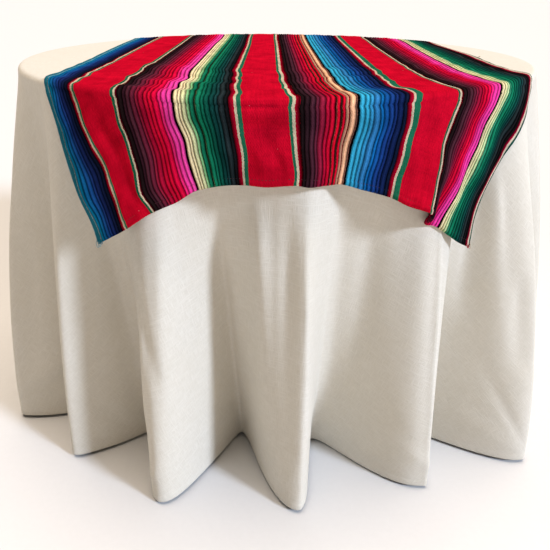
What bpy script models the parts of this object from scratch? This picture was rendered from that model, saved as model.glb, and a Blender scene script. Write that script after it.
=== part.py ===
"""A woven striped serape laid over a round pedestal table that wears a floor-length cloth.

Metres, +Z up. The origin is the middle of the base plate's underside, on the floor. The front end of
the serape hangs towards -Y, its stripes run front to back, and +X is to the right seen from the front.
"""

import math

import bmesh
import bpy
import numpy as np

# Table
TABLE_HEIGHT = 0.7570
TABLE_RADIUS = 0.5300
TOP_THICKNESS = 0.0250
TOP_BOTTOM = TABLE_HEIGHT - TOP_THICKNESS
EDGE_ROUNDING = 0.0080
TOP_PLATE_RADIUS = 0.1500
TOP_PLATE_THICKNESS = 0.0100
COLUMN_RADIUS = 0.0380
BASE_RADIUS = 0.2800
BASE_THICKNESS = 0.0120
GAP = 0.0003

# Tablecloth
CLOTH_THICKNESS = 0.0015
CLOTH_RADIUS = 0.5325
CLOTH_BEND = 0.0100
CLOTH_HEM_HEIGHT = 0.0040
CLOTH_COLUMNS = 140
CLOTH_HANG_SHARES = (0.0, 0.09, 0.22, 0.38, 0.56, 0.77, 1.0)
CLOTH_TOP = TABLE_HEIGHT + GAP + CLOTH_THICKNESS
HOLLOW_GROWTH = 1.10

# One row for each fold, going round from the back left over the front to the back right: angle from
# the front in degrees and radius on the floor of its crest, then of the hollow after it, and how the
# fold grows with depth: evenly at 1, and the more above 1, the fuller it is near the rim.
FOLDS = (
    # crest_angle, crest_radius, hollow_angle, hollow_radius, growth
    (-171.0, 0.602, -160.0, 0.415, 1.30),
    (-150.0, 0.618, -140.0, 0.440, 1.25),
    (-129.0, 0.600, -117.5, 0.405, 1.40),
    (-106.5, 0.632, -94.5, 0.430, 1.50),
    (-84.0, 0.640, -73.0, 0.470, 1.65),
    (-62.0, 0.664, -51.5, 0.480, 1.60),
    (-44.3, 0.608, -34.0, 0.440, 1.50),
    (-21.7, 0.604, -10.5, 0.387, 1.40),
    (4.8, 0.584, 11.8, 0.397, 1.40),
    (30.8, 0.592, 38.5, 0.455, 1.10),
    (50.0, 0.688, 61.5, 0.500, 1.50),
    (72.5, 0.655, 84.0, 0.460, 1.65),
    (95.0, 0.628, 107.0, 0.425, 1.50),
    (117.5, 0.606, 129.5, 0.400, 1.30),
    (141.0, 0.628, 152.0, 0.435, 1.40),
    (164.0, 0.598, 176.5, 0.410, 1.25),
)

# Serape: its wall is thickest on a rib's crest, and its under face takes fewer columns than the ribs
SERAPE_THICKNESS = 0.0025
SERAPE_LEFT = -0.384
SERAPE_RIGHT = 0.442
RIB_HEIGHT = 0.0010
FLAT_DROP = 0.0004
FLAT_STEP = 0.0180
SHOULDER = 0.0015
UNDER_STEP = 0.0185
SERAPE_GAP = 0.0008
SERAPE_BEND = CLOTH_BEND + SERAPE_GAP
SERAPE_RADIUS = CLOTH_RADIUS + SERAPE_GAP
BEND_START = SERAPE_RADIUS - SERAPE_BEND
HEM_WIDTH = 0.0080
HEM_THICKNESS = 0.0016
HEM_GAP = 0.0006
HANG_CLEARANCE = 0.0048
CLEARANCE_EASE = 0.0040
EASE_SHARE = 0.10

# One row for each station across the serape's front end: how far round the rim it swings by the hem,
# how far it stands off the rim's line there, and how far the end lies from the table's middle.
FRONT_END = (
    # across, swing_degrees, stand_off, reach
    (-0.384, 1.5, 0.050, 0.658),
    (-0.313, 2.4, 0.052, 0.657),
    (-0.241, 1.7, 0.042, 0.652),
    (-0.197, 1.6, 0.034, 0.649),
    (-0.154, 1.6, 0.018, 0.639),
    (-0.110, 1.4, 0.013, 0.640),
    (-0.068, 1.2, 0.014, 0.643),
    (-0.030, 1.5, 0.021, 0.647),
    (0.008, 2.2, 0.022, 0.645),
    (0.032, 2.0, 0.025, 0.647),
    (0.060, 2.0, 0.019, 0.644),
    (0.092, 2.1, 0.009, 0.641),
    (0.130, 2.4, 0.012, 0.645),
    (0.175, 2.4, 0.022, 0.646),
    (0.215, 2.1, 0.040, 0.651),
    (0.255, 1.7, 0.052, 0.650),
    (0.285, 1.0, 0.042, 0.653),
    (0.315, 0.3, 0.016, 0.656),
    (0.344, 0.4, 0.014, 0.650),
    (0.395, 0.6, 0.030, 0.653),
    (0.442, 0.0, 0.038, 0.643),
)

# The same for the back end, which hangs over the far side of the rim in shallower folds.
BACK_END = (
    # across, swing_degrees, stand_off, reach
    (-0.384, -0.6, 0.040, 0.652),
    (-0.330, -1.2, 0.046, 0.650),
    (-0.270, -1.6, 0.026, 0.649),
    (-0.215, -1.0, 0.012, 0.647),
    (-0.150, -0.4, 0.022, 0.646),
    (-0.100, -0.2, 0.030, 0.648),
    (-0.045, 0.0, 0.012, 0.646),
    (0.020, 0.2, 0.008, 0.645),
    (0.080, 0.5, 0.020, 0.647),
    (0.130, 0.9, 0.034, 0.650),
    (0.190, 1.3, 0.018, 0.648),
    (0.250, 1.0, 0.013, 0.649),
    (0.310, 0.8, 0.036, 0.652),
    (0.380, 0.4, 0.048, 0.655),
    (0.442, 0.0, 0.042, 0.654),
)

# Sideways drift of the threads from straight lines, where the cloth was pulled as it was laid: one row
# for each station across, with its drift to +X at places along it. A place is a share of the way from
# the table's middle to the rim, and past 1 it is 1 and the share of the hanging length below the bend.
DRIFT_PLACES = (-0.7, 0.0, 0.5, 0.87, 1.0, 1.2, 1.4, 1.6, 1.8, 2.0)
RIM_PLACE = 4
DRIFT = (
    # across, far_side, middle, near_side, before_rim, rim, fifth, two_fifths, three_fifths, four_fifths, end
    (-0.3840, -0.009, -0.001, 0.004, 0.004, 0.004, -0.008, -0.020, -0.021, -0.010, -0.003),
    (-0.3120, -0.018, -0.012, -0.010, -0.009, -0.007, -0.014, -0.009, -0.001, -0.002, 0.000),
    (-0.2400, -0.008, 0.002, -0.003, -0.002, -0.001, -0.006, -0.009, -0.012, -0.014, -0.001),
    (-0.1535, -0.004, -0.001, 0.001, 0.004, 0.004, 0.000, -0.001, -0.004, -0.004, 0.000),
    (-0.0665, -0.013, -0.006, -0.005, 0.005, 0.006, 0.005, 0.004, 0.002, 0.001, 0.000),
    (0.0110, -0.016, -0.012, -0.006, 0.003, 0.009, 0.008, 0.006, 0.005, 0.003, 0.000),
    (0.0955, -0.016, -0.014, -0.006, 0.003, 0.017, 0.015, 0.012, 0.008, 0.003, -0.002),
    (0.1770, -0.006, -0.008, -0.004, 0.002, 0.020, 0.020, 0.018, 0.015, 0.009, 0.001),
    (0.2565, -0.012, -0.016, -0.014, 0.001, 0.016, 0.013, 0.010, 0.009, 0.006, 0.001),
    (0.3470, -0.008, -0.018, -0.019, -0.003, 0.008, 0.011, 0.017, 0.015, 0.000, -0.008),
    (0.4420, -0.025, -0.007, -0.011, -0.002, 0.010, 0.006, 0.008, -0.008, -0.018, -0.004),
)

# Corded bands, where the threads are beaten up into round ribs, measured from the left selvedge.
CORDED_BANDS = (
    # left, right, ribs
    (0.0138, 0.0640, 7),
    (0.1495, 0.2285, 12),
    (0.2630, 0.3090, 7),
    (0.4035, 0.4490, 7),
    (0.4820, 0.5530, 10),
    (0.6470, 0.7295, 12),
    (0.7506, 0.8110, 9),
)

# Soft ridges across the top near the front rim, where the cloth has ridden up on itself.
RIDGES = (
    # behind_rim, half_width, height, left_end, right_end
    (0.020, 0.009, 0.0032, -0.330, -0.030),
    (0.085, 0.014, 0.0036, -0.310, 0.010),
)

BEND_STEPS = (0.0, 30.0, 60.0, 90.0)
FRONT_ROWS_BEHIND_RIM = (0.105, 0.085, 0.065, 0.036, 0.020, 0.008)
FRONT_HANG_SHARES = (0.10, 0.24, 0.43, 0.64, 0.90, 1.0)
BACK_HANG_SHARES = (0.11, 0.34, 0.65, 1.0)


def clear_scene():
    for item in list(bpy.data.objects):
        bpy.data.objects.remove(item, do_unlink=True)


def material(name, colour, roughness, metallic=0.0):
    """A plain Principled material in the part's own colour."""
    made = bpy.data.materials.new(name)
    made.use_nodes = True
    shader = made.node_tree.nodes["Principled BSDF"]
    shader.inputs["Base Color"].default_value = (*colour, 1.0)
    shader.inputs["Roughness"].default_value = roughness
    shader.inputs["Metallic"].default_value = metallic
    return made


def add_object(name, mesh, collection, look):
    item = bpy.data.objects.new(name, mesh)
    item.data.materials.append(look)
    collection.objects.link(item)
    return item


def smooth_through(at, keys, values):
    """Smooth curve through the rows, level at each high and low row, with no overshoot.

    values holds for each key a number, or an array with the shape of at.
    """
    keys, values = np.asarray(keys, float), np.asarray(values, float)
    step = np.diff(keys)
    rise = np.diff(values, axis=0) / step.reshape((-1,) + (1,) * (values.ndim - 1))
    agree = rise[:-1] * rise[1:] > 0
    total = np.where(agree, rise[:-1] + rise[1:], 1.0)
    slope = np.concatenate((rise[:1], np.where(agree, 2 * rise[:-1] * rise[1:] / total, 0.0), rise[-1:]))
    i = np.clip(np.searchsorted(keys, at) - 1, 0, len(step) - 1)
    before, after, slope_before, slope_after = [
        table[k] if values.ndim == 1 else np.take_along_axis(table, k[None], axis=0)[0]
        for table, k in ((values, i), (values, i + 1), (slope, i), (slope, i + 1))]
    t = (at - keys[i]) / step[i]
    return ((2 * t**3 - 3 * t**2 + 1) * before + (t**3 - 2 * t**2 + t) * step[i] * slope_before
            + (3 * t**2 - 2 * t**3) * after + (t**3 - t**2) * step[i] * slope_after)


def round_the_table(angle, rows):
    """Smooth closed curve through rows of angle and value, at an angle in degrees from the front."""
    keys = [rows[-1][0] - 360.0] + [row[0] for row in rows] + [rows[0][0] + 360.0]
    values = [rows[-1][1]] + [row[1] for row in rows] + [rows[0][1]]
    return smooth_through((angle + 180.0) % 360.0 - 180.0, keys, values)


def cloth_radius(angle, height):
    """Outer face of the hanging tablecloth: the rim's circle, growing into the folds with depth.

    Crests begin at the rim. Hollows begin under the table top, whose edge holds the cloth out.
    """
    edge = [pair for row in FOLDS for pair in ((row[0], row[1]), (row[2], row[3]))]
    fold = round_the_table(angle, edge) - CLOTH_RADIUS
    growth = round_the_table(angle, [(row[0], row[4]) for row in FOLDS])
    rim_height = CLOTH_TOP - CLOTH_BEND
    crest_share = np.clip((rim_height - height) / (rim_height - CLOTH_HEM_HEIGHT), 0.0, 1.0)
    hollow_share = np.clip((TOP_BOTTOM - height) / (TOP_BOTTOM - CLOTH_HEM_HEIGHT), 0.0, 1.0)
    left = np.where(fold > 0, (1 - crest_share) ** growth, (1 - hollow_share) ** HOLLOW_GROWTH)
    return CLOTH_RADIUS + fold * (1 - left)


def ridge_height(across, behind_rim):
    """Rise of the serape on the table top from its soft ridges."""
    rise = np.zeros_like(behind_rim)
    for centre, half_width, height, left, right in RIDGES:
        reach = np.clip(np.minimum(across - left, right - across) / 0.06, 0.0, 1.0)
        bell = np.exp(-(((behind_rim - centre) / half_width) ** 2))
        rise = rise + height * bell * reach**2 * (3 - 2 * reach)
    return rise


def drift_at(across, place):
    """Sideways drift of column across at the place with this number in the drift table."""
    return smooth_through(across, [row[0] for row in DRIFT], [row[1 + place] for row in DRIFT])


def rim_line(across, past, front):
    """How far out from the table's middle each column lies, at a length past the bend's start."""
    drifted = across + np.where(front, drift_at(across, RIM_PLACE), drift_at(across, 0))
    return np.sqrt((BEND_START + past) ** 2 - drifted**2)


def drifted_across(across, along, reach):
    """Where each point of the flat cut lies across the table, with the drift of its threads."""
    rim = rim_line(across, 0.0, along >= 0)
    at_rim = across + drift_at(across, RIM_PLACE)
    hang_start = BEND_START + SERAPE_BEND * math.pi / 2
    share = (np.hypot(at_rim, along) - hang_start) / (np.hypot(at_rim, reach) - hang_start)
    place = np.where(along > rim, 1 + np.clip(share, 0.0, 1.0), along / rim)
    drifts = np.stack([drift_at(across, k) for k in range(len(DRIFT_PLACES))])
    return across + smooth_through(np.clip(place, DRIFT_PLACES[0], DRIFT_PLACES[-1]), DRIFT_PLACES, drifts)


def serape_points(across, along):
    """Under face of the serape from points of its flat cut.

    across runs to +X and along runs from the table's middle to the front end, or to the back end
    where it is negative. A point inside the rim lies on the tablecloth. Past the rim it goes round
    the bend and hangs along its own radius, swinging and standing off as the end's rows say, and
    never closer than its clearance to the tablecloth.
    """
    front = along >= 0
    ends = []
    for rows in (FRONT_END, BACK_END):
        stations = [row[0] for row in rows]
        ends.append([smooth_through(across, stations, [row[k] for row in rows]) for k in (1, 2, 3)])
    swing, stand_off, reach = [np.where(front, ends[0][k], ends[1][k]) for k in range(3)]
    across = drifted_across(across, along, reach)
    flat_radius = np.hypot(across, along)
    angle = np.degrees(np.arctan2(across, np.abs(along)))
    past = flat_radius - BEND_START
    arc = SERAPE_BEND * math.pi / 2
    length = np.hypot(across, reach) - BEND_START - arc
    hung = np.clip(past - arc, 0.0, None)
    share = np.clip(hung / length, 0.0, 1.0)
    turn = np.clip(past, 0.0, arc) / SERAPE_BEND
    under = CLOTH_TOP + SERAPE_GAP
    height = under - SERAPE_BEND * (1 - np.cos(turn)) - hung * np.sqrt(1 - (stand_off / length) ** 2)
    angle = angle + swing * share**0.8
    radius = np.minimum(flat_radius, BEND_START) + SERAPE_BEND * np.sin(turn) + stand_off * share**1.2
    cloth_angle = np.where(front, angle, 180.0 - angle)
    nearest = cloth_radius(cloth_angle, height) + SERAPE_GAP + HANG_CLEARANCE * share**0.2
    ease = CLEARANCE_EASE * np.clip(share / EASE_SHARE, 0.0, 1.0)
    pushed = (radius + nearest + np.sqrt((radius - nearest) ** 2 + ease**2)) / 2
    radius = np.where(hung > 0, pushed, radius)
    height = height + np.where(front & (past < 0), ridge_height(across, -past), 0.0)
    x = radius * np.sin(np.radians(angle))
    y = radius * np.cos(np.radians(angle)) * np.where(front, -1.0, 1.0)
    return np.stack([x, y, height], axis=-1)


def serape_normals(across, along):
    """Unit directions out of the serape's upper face."""
    step = 0.0005
    to_side = serape_points(across + step, along) - serape_points(across - step, along)
    to_front = serape_points(across, along + step) - serape_points(across, along - step)
    out = np.cross(to_front, to_side)
    return out / np.linalg.norm(out, axis=-1, keepdims=True)


def end_lines(across, rows, front, shares):
    """Distances out from the table's middle, from the rim's bend to the hem, for each column."""
    reach = smooth_through(across, [row[0] for row in rows], [row[3] for row in rows])
    lines = [rim_line(across, SERAPE_BEND * math.radians(bend), front) for bend in BEND_STEPS]
    start = lines[-1]
    return lines + [start + (reach - start) * share for share in shares]


def grid_mesh(name, points):
    """Open quad surface through a two-way grid of points."""
    rows, columns = points.shape[:2]
    mesh = bpy.data.meshes.new(name)
    index = np.arange(rows * columns).reshape(rows, columns)
    faces = np.stack([index[:-1, :-1], index[1:, :-1], index[1:, 1:], index[:-1, 1:]], axis=-1)
    mesh.from_pydata(points.reshape(-1, 3).tolist(), [], faces.reshape(-1, 4).tolist())
    mesh.update()
    return mesh


def solidify(item, thickness, offset):
    """Give an open surface its wall, on the outer side for 1 and on the inner side for -1."""
    shell = item.modifiers.new("wall", "SOLIDIFY")
    shell.thickness = thickness
    shell.offset = offset
    shell.use_even_offset = True
    item.data.shade_smooth()
    item.data.set_sharp_from_angle(angle=math.radians(40))
    return item


def rib_columns():
    """Places across the serape's upper face and the wall's thickness at each.

    A rib takes a groove, a crest and a groove. The flat stretches between bands are level, take even
    steps and fall to the first groove over a short shoulder.
    """
    groove, flat_start = SERAPE_THICKNESS - RIB_HEIGHT, 0.0
    places, walls = [], []
    for left, right, ribs in CORDED_BANDS + ((SERAPE_RIGHT - SERAPE_LEFT + SHOULDER, 0.0, 0),):
        flat_end = left - SHOULDER
        steps = max(1, round((flat_end - flat_start) / FLAT_STEP))
        places += np.linspace(flat_start, flat_end, steps + 1).tolist()
        walls += [SERAPE_THICKNESS - FLAT_DROP] * (steps + 1)
        if ribs:
            places += np.linspace(left, right, 2 * ribs + 1).tolist()
            walls += [groove] + [SERAPE_THICKNESS, groove] * ribs
        flat_start = right + SHOULDER
    return SERAPE_LEFT + np.array(places), np.array(walls)


def under_columns():
    """Numbers of the upper face's columns that the plain under face keeps, a step or more apart."""
    across, _ = rib_columns()
    kept = [0]
    for column in range(1, len(across) - 1):
        if across[column] - across[kept[-1]] >= UNDER_STEP and across[-1] - across[column] >= UNDER_STEP / 2:
            kept.append(column)
    return kept + [len(across) - 1]


def serape_rows(across):
    """Flat distances along the serape, one line of points for each row from the back end on."""
    rim = rim_line(across, 0.0, True)
    lines = [-line for line in reversed(end_lines(across, BACK_END, False, BACK_HANG_SHARES))]
    lines.append(np.zeros_like(across))
    lines += [rim - behind for behind in FRONT_ROWS_BEHIND_RIM]
    return np.stack(lines + end_lines(across, FRONT_END, True, FRONT_HANG_SHARES))


def make_serape_panel(collection):
    """One woven panel, over the top and down both sides of the table.

    Its upper face carries the ribs and its under face is plain, with fewer columns. The selvedges
    are quads, and each face of the ends takes in the ribs over one step of the under face.
    """
    across, wall = rib_columns()
    kept = under_columns()
    along = serape_rows(across)
    across = np.broadcast_to(across, along.shape)
    under = serape_points(across, along)
    upper = under + serape_normals(across, along) * wall[None, :, None]
    rows, columns = along.shape
    top = np.arange(rows * columns).reshape(rows, columns)
    low = top.size + np.arange(rows * len(kept)).reshape(rows, len(kept))
    faces = []
    for grid in (top, low):
        quads = np.stack([grid[:-1, :-1], grid[1:, :-1], grid[1:, 1:], grid[:-1, 1:]], axis=-1)
        faces += quads.reshape(-1, 4).tolist()
    for side in (0, -1):
        faces += np.stack([top[:-1, side], top[1:, side], low[1:, side], low[:-1, side]], axis=-1).tolist()
    for end in (0, -1):
        for step in range(len(kept) - 1):
            ribs = top[end, kept[step]:kept[step + 1] + 1]
            faces.append(ribs.tolist() + [int(low[end, step + 1]), int(low[end, step])])
    mesh = bpy.data.meshes.new("serape_panel")
    points = np.concatenate([upper.reshape(-1, 3), under[:, kept].reshape(-1, 3)])
    mesh.from_pydata(points.tolist(), [], faces)
    shape = bmesh.new()
    shape.from_mesh(mesh)
    bmesh.ops.recalc_face_normals(shape, faces=shape.faces)
    shape.to_mesh(mesh)
    shape.free()
    mesh.shade_smooth()
    mesh.set_sharp_from_angle(angle=math.radians(40))
    return add_object("serape_panel", mesh, collection, material("serape wool", (0.62, 0.02, 0.03), 0.9))


def make_hem(name, rows, side, collection):
    """The panel's end turned under: a strip on the panel's own under face, moved inwards."""
    across = rib_columns()[0][under_columns()]
    reach = smooth_through(across, [row[0] for row in rows], [row[3] for row in rows])
    along = np.sort(np.stack([side * (reach - HEM_WIDTH), side * reach]), axis=0)
    across = np.broadcast_to(across, along.shape)
    points = serape_points(across, along) - serape_normals(across, along) * HEM_GAP
    hem = add_object(name, grid_mesh(name, points), collection,
                     material(name + " wool", (0.40, 0.03, 0.05), 0.9))
    return solidify(hem, HEM_THICKNESS, -1.0)


def make_tablecloth(collection):
    """One round cut: flat on the table, round its edge, and down to the floor in folds."""
    angles = np.arange(CLOTH_COLUMNS) * 360.0 / CLOTH_COLUMNS - 180.0
    bend_start = CLOTH_RADIUS - CLOTH_BEND
    rings = []
    for bend in BEND_STEPS:
        turn = math.radians(bend)
        radius = np.full(CLOTH_COLUMNS, bend_start + CLOTH_BEND * math.sin(turn))
        rings.append((radius, CLOTH_TOP - CLOTH_BEND * (1 - math.cos(turn))))
    for share in CLOTH_HANG_SHARES:
        height = TOP_BOTTOM + (CLOTH_HEM_HEIGHT - TOP_BOTTOM) * share
        rings.append((cloth_radius(angles, height), height))
    turn = np.radians(angles)
    points = np.concatenate([np.stack([radius * np.sin(turn), -radius * np.cos(turn),
                                       np.full(CLOTH_COLUMNS, height)], axis=-1)
                             for radius, height in rings] + [[[0.0, 0.0, CLOTH_TOP]]])
    index = np.arange(len(rings) * CLOTH_COLUMNS).reshape(len(rings), CLOTH_COLUMNS)
    after = np.roll(index, -1, axis=1)
    faces = np.stack([index[:-1], index[1:], after[1:], after[:-1]], axis=-1).reshape(-1, 4).tolist()
    middle = len(points) - 1
    faces += [(middle, a, b) for a, b in zip(index[0].tolist(), after[0].tolist())]
    mesh = bpy.data.meshes.new("tablecloth")
    mesh.from_pydata(points.tolist(), [], faces)
    mesh.update()
    cloth = add_object("tablecloth", mesh, collection, material("cream linen", (0.80, 0.74, 0.62), 0.9))
    return solidify(cloth, CLOTH_THICKNESS, -1.0)


def make_disc(name, radius, bottom, thickness, sides, rounding, collection, look):
    """A round plate or a post, standing on its bottom height."""
    shape = bmesh.new()
    bmesh.ops.create_cone(shape, cap_ends=True, segments=sides, radius1=radius, radius2=radius,
                          depth=thickness)
    mesh = bpy.data.meshes.new(name)
    shape.to_mesh(mesh)
    shape.free()
    mesh.shade_smooth()
    mesh.set_sharp_from_angle(angle=math.radians(40))
    disc = add_object(name, mesh, collection, look)
    disc.location = (0.0, 0.0, bottom + thickness / 2)
    if rounding:
        edge = disc.modifiers.new("edge", "BEVEL")
        edge.width = rounding
        edge.segments = 2
        edge.limit_method = "ANGLE"
    return disc


def make_table(collection):
    """Round top on a plate, a column and a round base plate."""
    steel = (0.05, 0.05, 0.055)
    plate_bottom = TOP_BOTTOM - GAP - TOP_PLATE_THICKNESS
    column_bottom = BASE_THICKNESS + GAP
    make_disc("table_top", TABLE_RADIUS, TOP_BOTTOM, TOP_THICKNESS, 48, EDGE_ROUNDING, collection,
              material("table top wood", (0.50, 0.34, 0.20), 0.5))
    make_disc("top_plate", TOP_PLATE_RADIUS, plate_bottom, TOP_PLATE_THICKNESS, 28, 0.0, collection,
              material("top plate steel", steel, 0.45, 0.6))
    make_disc("column", COLUMN_RADIUS, column_bottom, plate_bottom - GAP - column_bottom, 24, 0.0,
              collection, material("column steel", steel, 0.45, 0.6))
    make_disc("base_plate", BASE_RADIUS, 0.0, BASE_THICKNESS, 40, 0.003, collection,
              material("base plate steel", steel, 0.5, 0.6))


def main():
    clear_scene()
    collection = bpy.data.collections.new("serape_on_table")
    bpy.context.scene.collection.children.link(collection)
    make_serape_panel(collection)
    make_hem("front_hem", FRONT_END, 1, collection)
    make_hem("back_hem", BACK_END, -1, collection)
    make_tablecloth(collection)
    make_table(collection)


main()
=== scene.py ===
import math

import bpy
import numpy as np
from mathutils import Matrix, Vector


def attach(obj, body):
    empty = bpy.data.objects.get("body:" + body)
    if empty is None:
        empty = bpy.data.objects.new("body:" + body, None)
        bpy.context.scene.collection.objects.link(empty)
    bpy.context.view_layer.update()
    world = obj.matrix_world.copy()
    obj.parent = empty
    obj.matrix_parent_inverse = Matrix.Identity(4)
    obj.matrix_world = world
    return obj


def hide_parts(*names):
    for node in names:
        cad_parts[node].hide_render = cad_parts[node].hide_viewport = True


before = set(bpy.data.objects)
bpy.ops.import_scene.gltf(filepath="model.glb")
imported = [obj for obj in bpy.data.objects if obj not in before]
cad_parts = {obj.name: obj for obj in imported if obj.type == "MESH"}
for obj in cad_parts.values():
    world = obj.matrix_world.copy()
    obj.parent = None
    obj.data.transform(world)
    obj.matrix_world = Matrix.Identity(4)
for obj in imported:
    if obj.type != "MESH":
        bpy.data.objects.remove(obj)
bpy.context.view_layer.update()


# The floor
# A seamless sheet of white studio paper that runs far behind the table. It is matte, and so pale
# that only the soft shade round the hem tells it from the background.
def tone(code):
    """Linear colour of an sRGB hex value, channel by channel."""
    parts = [int(code[i:i + 2], 16) / 255 for i in (1, 3, 5)]
    return tuple(c / 12.92 if c <= 0.04045 else ((c + 0.055) / 1.055) ** 2.4 for c in parts) + (1.0,)


def add(tree, kind, feeds=None, **settings):
    """Adds one shader node with its settings. feeds gives its inputs, as values or others' outputs."""
    node = tree.nodes.new("ShaderNode" + kind)
    for name, value in settings.items():
        setattr(node, name, value)
    for key, value in (feeds or {}).items():
        if isinstance(value, bpy.types.NodeSocket):
            tree.links.new(value, node.inputs[key])
        else:
            node.inputs[key].default_value = value
    return node


def new_finish(name, roughness, ior=1.5, metallic=0.0):
    """A material with its shader, ready for the nodes that give it colour and grain."""
    made = bpy.data.materials.new(name)
    made.use_nodes = True
    shader = made.node_tree.nodes["Principled BSDF"]
    shader.inputs["Roughness"].default_value = roughness
    shader.inputs["IOR"].default_value = ior
    shader.inputs["Metallic"].default_value = metallic
    return made, made.node_tree, shader


def new_piece(name, points, faces, finish):
    """An object at the origin with its place in its mesh, smooth all over."""
    mesh = bpy.data.meshes.new(name)
    points = np.asarray(points, np.float32).reshape(-1, 3)
    faces = np.asarray(faces, np.int32)
    corners = faces.shape[1]
    mesh.vertices.add(len(points))
    mesh.vertices.foreach_set("co", points.ravel())
    mesh.loops.add(faces.size)
    mesh.loops.foreach_set("vertex_index", faces.ravel())
    mesh.polygons.add(len(faces))
    mesh.polygons.foreach_set("loop_start", np.arange(0, faces.size, corners, dtype=np.int32))
    mesh.update(calc_edges=True)
    mesh.shade_smooth()
    piece = bpy.data.objects.new(name, mesh)
    piece.data.materials.append(finish)
    bpy.context.scene.collection.objects.link(piece)
    return piece


paper, tree, shader = new_finish("studio paper", 0.9)
place = add(tree, "TexCoord")
tooth = add(tree, "TexNoise", {"Vector": place.outputs["Object"], "Scale": 90.0, "Detail": 2.0})
shade = add(tree, "Mix", {"Factor": tooth.outputs["Fac"], 6: tone("#d5d4d3"), 7: tone("#d9d8d7")},
            data_type="RGBA")
tree.links.new(shade.outputs[2], shader.inputs["Base Color"])
PAPER_REACH = 40
paper_corners = [(x * PAPER_REACH, y * PAPER_REACH, 0) for x, y in ((-1, -1), (1, -1), (1, 1), (-1, 1))]
floor = new_piece("floor", paper_corners, [(0, 1, 2, 3)], paper)

# The base plate, the column and the top plate
# Cut steel discs and a steel tube, bolted up and powder coated black. The coat is satin and has the
# slight orange peel that baked powder leaves.
coated, tree, shader = new_finish("black powder coat", 0.42)
place = add(tree, "TexCoord")
peel = add(tree, "TexNoise", {"Vector": place.outputs["Object"], "Scale": 420.0, "Detail": 2.0})
dust = add(tree, "TexNoise", {"Vector": place.outputs["Object"], "Scale": 9.0, "Detail": 5.0})
black = add(tree, "Mix", {"Factor": dust.outputs["Fac"], 6: tone("#1b1b1d"), 7: tone("#29292b")},
            data_type="RGBA")
wear = add(tree, "MapRange", {"Value": dust.outputs["Fac"], 3: 0.36, 4: 0.52})
bump = add(tree, "Bump", {"Height": peel.outputs["Fac"], "Strength": 0.25, "Distance": 0.0002})
tree.links.new(black.outputs[2], shader.inputs["Base Color"])
tree.links.new(wear.outputs[0], shader.inputs["Roughness"])
tree.links.new(bump.outputs[0], shader.inputs["Normal"])
for node in ("base_plate", "column", "top_plate"):
    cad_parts[node].data.materials.clear()
    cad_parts[node].data.materials.append(coated)

# The table top
# A round of 25 mm birch plywood, sealed with a thin satin varnish. The grain runs across the table,
# and on the rounded edge the plies show as thin bands, light and dark.
ply, tree, shader = new_finish("varnished birch plywood", 0.38)
shader.inputs["Coat Weight"].default_value = 0.25
shader.inputs["Coat Roughness"].default_value = 0.2
place = add(tree, "TexCoord")
along_grain = add(tree, "Mapping", {"Vector": place.outputs["Object"], "Scale": (3.0, 60.0, 60.0)})
grain = add(tree, "TexNoise", {"Vector": along_grain.outputs[0], "Scale": 1.0, "Detail": 6.0,
                               "Distortion": 0.6})
wood = add(tree, "Mix", {"Factor": grain.outputs["Fac"], 6: tone("#c39a66"), 7: tone("#e0c08e")},
           data_type="RGBA")
height = add(tree, "SeparateXYZ", {"Vector": place.outputs["Object"]})
PLY_THICKNESS = 0.0038
ply_count = add(tree, "Math", {0: height.outputs["Z"], 1: 1 / PLY_THICKNESS}, operation="MULTIPLY")
ply_band = add(tree, "Math", {0: ply_count.outputs[0], 1: 1.0}, operation="PINGPONG")
plies = add(tree, "Mix", {"Factor": ply_band.outputs[0], 6: (0.72, 0.66, 0.6, 1), 7: (1, 1, 1, 1)},
            data_type="RGBA")
banded = add(tree, "Mix", {"Factor": 0.6, 6: wood.outputs[2], 7: plies.outputs[2]},
             data_type="RGBA", blend_type="MULTIPLY")
bump = add(tree, "Bump", {"Height": grain.outputs["Fac"], "Strength": 0.2, "Distance": 0.0003})
tree.links.new(banded.outputs[2], shader.inputs["Base Color"])
tree.links.new(bump.outputs[0], shader.inputs["Normal"])
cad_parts["table_top"].data.materials.clear()
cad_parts["table_top"].data.materials.append(ply)

# The tablecloth
# One round cut of cream slub-weave cloth, 2.58 m across, laid on the table and let fall to the floor
# in deep folds. Its edge is turned up 16 mm and sewn, and its threads run straight across the cut, so
# they hang upright at the front and on the bias between.
CLOTH_RADIUS = 0.5325
CLOTH_BEND = 0.0100
CLOTH_TOP = 0.7588
CLOTH_WALL = 0.0014
CLOTH_HEM_HEIGHT = 0.0040
TOP_BOTTOM = 0.7320
HOLLOW_GROWTH = 1.10
CLOTH_HEM_WIDTH = 0.016
HEM_PUFF = 0.0007
SEAM_UP = 0.0152
SEAM_DEPTH = 0.0009
SEAM_HALF_WIDTH = 0.0012
HEM_LIFT = 0.0030
HEM_LIFT_FADE = 0.12
FOLDS = (
    # crest_angle, crest_radius, hollow_angle, hollow_radius, growth
    (-171.0, 0.602, -160.0, 0.415, 1.30),
    (-150.0, 0.618, -140.0, 0.440, 1.25),
    (-129.0, 0.600, -117.5, 0.405, 1.40),
    (-106.5, 0.632, -94.5, 0.430, 1.50),
    (-84.0, 0.640, -73.0, 0.470, 1.65),
    (-62.0, 0.664, -51.5, 0.480, 1.60),
    (-44.3, 0.608, -34.0, 0.440, 1.50),
    (-21.7, 0.604, -10.5, 0.387, 1.40),
    (4.8, 0.584, 11.8, 0.397, 1.40),
    (30.8, 0.592, 38.5, 0.455, 1.10),
    (50.0, 0.688, 61.5, 0.500, 1.50),
    (72.5, 0.655, 84.0, 0.460, 1.65),
    (95.0, 0.628, 107.0, 0.425, 1.50),
    (117.5, 0.606, 129.5, 0.400, 1.30),
    (141.0, 0.628, 152.0, 0.435, 1.40),
    (164.0, 0.598, 176.5, 0.410, 1.25),
)
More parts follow.
